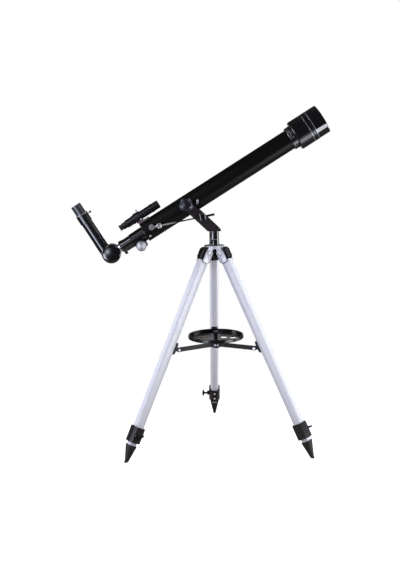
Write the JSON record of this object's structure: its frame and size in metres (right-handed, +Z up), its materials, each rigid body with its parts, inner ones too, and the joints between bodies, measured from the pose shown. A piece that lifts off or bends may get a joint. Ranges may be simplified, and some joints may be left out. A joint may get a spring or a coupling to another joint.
{
  "type": "telescope on tripod",
  "caption": "Black refracting telescope with dew shield, finder and angled eyepiece, in a yoke with a slow-motion rod, on a folding aluminium tripod with a spreader and round tray.",
  "frame": {"origin": "on the floor under the azimuth axis", "axes": "+Z up, +X towards the sky end of the tube, +Y towards the leg at the back"},
  "size_m": [0.7362, 0.4842, 0.9769],
  "materials": {
    "satin_aluminium": "satin anodised",
    "cast_silver": "cast and painted silver",
    "bright_steel": "plated",
    "black_plastic": "satin moulded",
    "gloss_black_plastic": "gloss",
    "black_paint": "gloss black paint",
    "dark_sheet": "matte black paint",
    "chrome_plate": "bright",
    "turned_aluminium": "turned",
    "brass_gear": "machined",
    "rubber_black": "moulded",
    "lens_glass": "polished and coated",
    "mirror_face": "polished"
  },
  "bodies": {
    "stand_head": {"tripod_head": "cast_silver", "leg_bolts": "bright_steel"},
    "azimuth_lock": {"azimuth_lock_screw": "black_plastic"},
    "leg_a": {"leg_cap_a": "black_plastic", "outer_leg_a": "satin_aluminium", "lock_collar_a": "black_plastic", "leg_bracket_a": "dark_sheet"},
    "leg_lock_a": {"leg_thumbscrew_a": "black_plastic"},
    "lower_leg_a": {"inner_leg_a": "satin_aluminium", "foot_a": "rubber_black"},
    "arm_a": {"spreader_arm_a": "dark_sheet"},
    "leg_b": {"leg_cap_b": "black_plastic", "outer_leg_b": "satin_aluminium", "lock_collar_b": "black_plastic", "leg_bracket_b": "dark_sheet"},
    "leg_lock_b": {"leg_thumbscrew_b": "black_plastic"},
    "lower_leg_b": {"inner_leg_b": "satin_aluminium", "foot_b": "rubber_black"},
    "arm_b": {"spreader_arm_b": "dark_sheet"},
    "leg_c": {"leg_cap_c": "black_plastic", "outer_leg_c": "satin_aluminium", "lock_collar_c": "black_plastic", "leg_bracket_c": "dark_sheet"},
    "leg_lock_c": {"leg_thumbscrew_c": "black_plastic"},
    "lower_leg_c": {"inner_leg_c": "satin_aluminium", "foot_c": "rubber_black"},
    "arm_c": {"spreader_arm_c": "dark_sheet"},
    "spreader": {"spreader_hub": "black_plastic"},
    "tray": {"tray": "black_plastic"},
    "mount": {"spindle": "black_paint", "yoke": "dark_sheet", "altitude_washers": "chrome_plate"},
    "tube": {"main_tube": "black_paint", "lens_cell": "gloss_black_plastic", "objective_lens": "lens_glass", "dew_shield": "gloss_black_plastic", "trunnion_pads": "black_plastic", "rod_pivot": "bright_steel", "focuser_housing": "black_plastic", "finder_tube": "black_plastic", "finder_lenses": "lens_glass", "finder_bracket": "black_plastic"},
    "altitude_lock_near": {"altitude_knob_near": "gloss_black_plastic"},
    "altitude_lock_far": {"altitude_knob_far": "gloss_black_plastic"},
    "rod": {"slow_motion_rod": "bright_steel", "rod_end_cap": "black_plastic"},
    "fork": {"rod_fork": "bright_steel"},
    "wheel": {"rod_wheel": "black_plastic"},
    "draw": {"drawtube": "black_paint"},
    "pinion": {"focus_pinion": "brass_gear", "focus_knobs": "turned_aluminium"},
    "draw_lock": {"drawtube_thumbscrew": "black_plastic"},
    "diagonal": {"diagonal_body": "black_plastic", "diagonal_nose": "chrome_plate", "diagonal_mirror": "mirror_face"},
    "barlow": {"barlow_tube": "black_paint", "barlow_lens": "lens_glass"},
    "barlow_lock": {"barlow_thumbscrew": "black_plastic"},
    "eyepiece": {"eyepiece_body": "gloss_black_plastic", "eyepiece_lenses": "lens_glass"}
  },
  "joints": [
    {"name": "leg_fold_a", "type": "hinge", "parent": "stand_head", "child": "leg_a", "pos_m": [0, 0.027, 0.572], "axis": [-1, 0, 0], "range_deg": [0, 4]},
    {"name": "leg_extend_a", "type": "slide", "parent": "leg_a", "child": "lower_leg_a", "axis": [0, 0.4399, -0.898], "range_m": [0, 0.35]},
    {"name": "leg_lock_turn_a", "type": "hinge", "parent": "leg_a", "child": "leg_lock_a", "pos_m": [-0.022, 0.27474, 0.0754], "axis": [-1, 0, 0], "continuous": true},
    {"name": "leg_fold_b", "type": "hinge", "parent": "stand_head", "child": "leg_b", "pos_m": [-0.02338, -0.0135, 0.572], "axis": [0.5, -0.866, 0], "range_deg": [0, 4]},
    {"name": "leg_extend_b", "type": "slide", "parent": "leg_b", "child": "lower_leg_b", "axis": [-0.381, -0.22, -0.898], "range_m": [0, 0.35]},
    {"name": "leg_lock_turn_b", "type": "hinge", "parent": "leg_b", "child": "leg_lock_b", "pos_m": [-0.22693, -0.15642, 0.0754], "axis": [0.5, -0.866, 0], "continuous": true},
    {"name": "leg_fold_c", "type": "hinge", "parent": "stand_head", "child": "leg_c", "pos_m": [0.02338, -0.0135, 0.572], "axis": [0.5, 0.866, 0], "range_deg": [0, 4]},
    {"name": "leg_extend_c", "type": "slide", "parent": "leg_c", "child": "lower_leg_c", "axis": [0.381, -0.22, -0.898], "range_m": [0, 0.35]},
    {"name": "leg_lock_turn_c", "type": "hinge", "parent": "leg_c", "child": "leg_lock_c", "pos_m": [0.24893, -0.11832, 0.0754], "axis": [0.5, 0.866, 0], "continuous": true},
    {"name": "hub_slide", "type": "slide", "parent": "stand_head", "child": "spreader", "axis": [0, 0, 1], "range_m": [0, 0.05775]},
    {"name": "arm_fold_a", "type": "hinge", "parent": "spreader", "child": "arm_a", "pos_m": [0, 0.0105, 0.29941], "axis": [-1, 0, 0], "range_deg": [0, 33.48]},
    {"name": "arm_fold_b", "type": "hinge", "parent": "spreader", "child": "arm_b", "pos_m": [-0.00909, -0.00525, 0.29941], "axis": [0.5, -0.866, 0], "range_deg": [0, 33.48]},
    {"name": "arm_fold_c", "type": "hinge", "parent": "spreader", "child": "arm_c", "pos_m": [0.00909, -0.00525, 0.29941], "axis": [0.5, 0.866, 0], "range_deg": [0, 33.48]},
    {"name": "tray_spin", "type": "hinge", "parent": "spreader", "child": "tray", "pos_m": [0, 0, 0.31801], "axis": [0, 0, 1], "continuous": true},
    {"name": "azimuth", "type": "hinge", "parent": "stand_head", "child": "mount", "pos_m": [0, 0, 0.6], "axis": [0, 0, 1], "continuous": true},
    {"name": "azimuth_lock_turn", "type": "hinge", "parent": "stand_head", "child": "azimuth_lock", "pos_m": [0, 0.018, 0.6], "axis": [0, 1, 0], "continuous": true},
    {"name": "altitude", "type": "hinge", "parent": "mount", "child": "tube", "pos_m": [-0.078, 0, 0.71], "axis": [0, -1, 0], "range_deg": [-31, 32]},
    {"name": "altitude_lock_turn_near", "type": "hinge", "parent": "tube", "child": "altitude_lock_near", "pos_m": [-0.078, -0.045, 0.71], "axis": [0, -1, 0], "continuous": true},
    {"name": "altitude_lock_turn_far", "type": "hinge", "parent": "tube", "child": "altitude_lock_far", "pos_m": [-0.078, 0.045, 0.71], "axis": [0, 1, 0], "continuous": true},
    {"name": "rod_swing", "type": "hinge", "parent": "tube", "child": "rod", "pos_m": [-0.1765, -0.049, 0.64987], "axis": [0, -1, 0], "range_deg": [-10, 10]},
    {"name": "fork_swing", "type": "hinge", "parent": "mount", "child": "fork", "pos_m": [-0.0324, -0.049, 0.6765], "axis": [0, -1, 0], "range_deg": [-24, 24]},
    {"name": "wheel_turn", "type": "hinge", "parent": "fork", "child": "wheel", "pos_m": [-0.0324, -0.049, 0.6765], "axis": [0.9834, 0, 0.1817], "continuous": true},
    {"name": "focus", "type": "slide", "parent": "tube", "child": "draw", "axis": [-0.8536, 0, -0.521], "range_m": [-0.024, 0.04]},
    {"name": "focus_turn", "type": "hinge", "parent": "tube", "child": "pinion", "pos_m": [-0.20716, 0, 0.59531], "axis": [0, -1, 0], "range_deg": [-360, 360]},
    {"name": "draw_lock_turn", "type": "hinge", "parent": "draw", "child": "draw_lock", "pos_m": [-0.25254, 0, 0.57464], "axis": [0.521, 0, -0.8536], "continuous": true},
    {"name": "diagonal_turn", "type": "hinge", "parent": "draw", "child": "diagonal", "pos_m": [-0.25912, 0, 0.59406], "axis": [0.8536, 0, 0.521], "range_deg": [-90, 90]},
    {"name": "barlow_slide", "type": "slide", "parent": "diagonal", "child": "barlow", "axis": [-0.521, 0, 0.8536], "range_m": [0, 0.016]},
    {"name": "barlow_lock_turn", "type": "hinge", "parent": "barlow", "child": "barlow_lock", "pos_m": [-0.35624, 0, 0.69059], "axis": [0.8536, 0, 0.521], "continuous": true},
    {"name": "eyepiece_slide", "type": "slide", "parent": "barlow", "child": "eyepiece", "axis": [-0.521, 0, 0.8536], "range_m": [0, 0.02]}
  ],
  "couplings": [
    {"joint": "leg_fold_b", "follows": "leg_fold_a", "ratio": 1},
    {"joint": "leg_fold_c", "follows": "leg_fold_a", "ratio": 1},
    {"joint": "hub_slide", "follows": "leg_fold_a", "m_per_rad": 0.82717},
    {"joint": "arm_fold_a", "follows": "leg_fold_a", "ratio": 8.3695},
    {"joint": "arm_fold_b", "follows": "leg_fold_a", "ratio": 8.3695},
    {"joint": "arm_fold_c", "follows": "leg_fold_a", "ratio": 8.3695},
    {"joint": "rod_swing", "follows": "altitude", "ratio": -0.258},
    {"joint": "fork_swing", "follows": "altitude", "ratio": 0.742},
    {"joint": "focus_turn", "follows": "focus", "rad_per_m": 153.85}
  ]
}
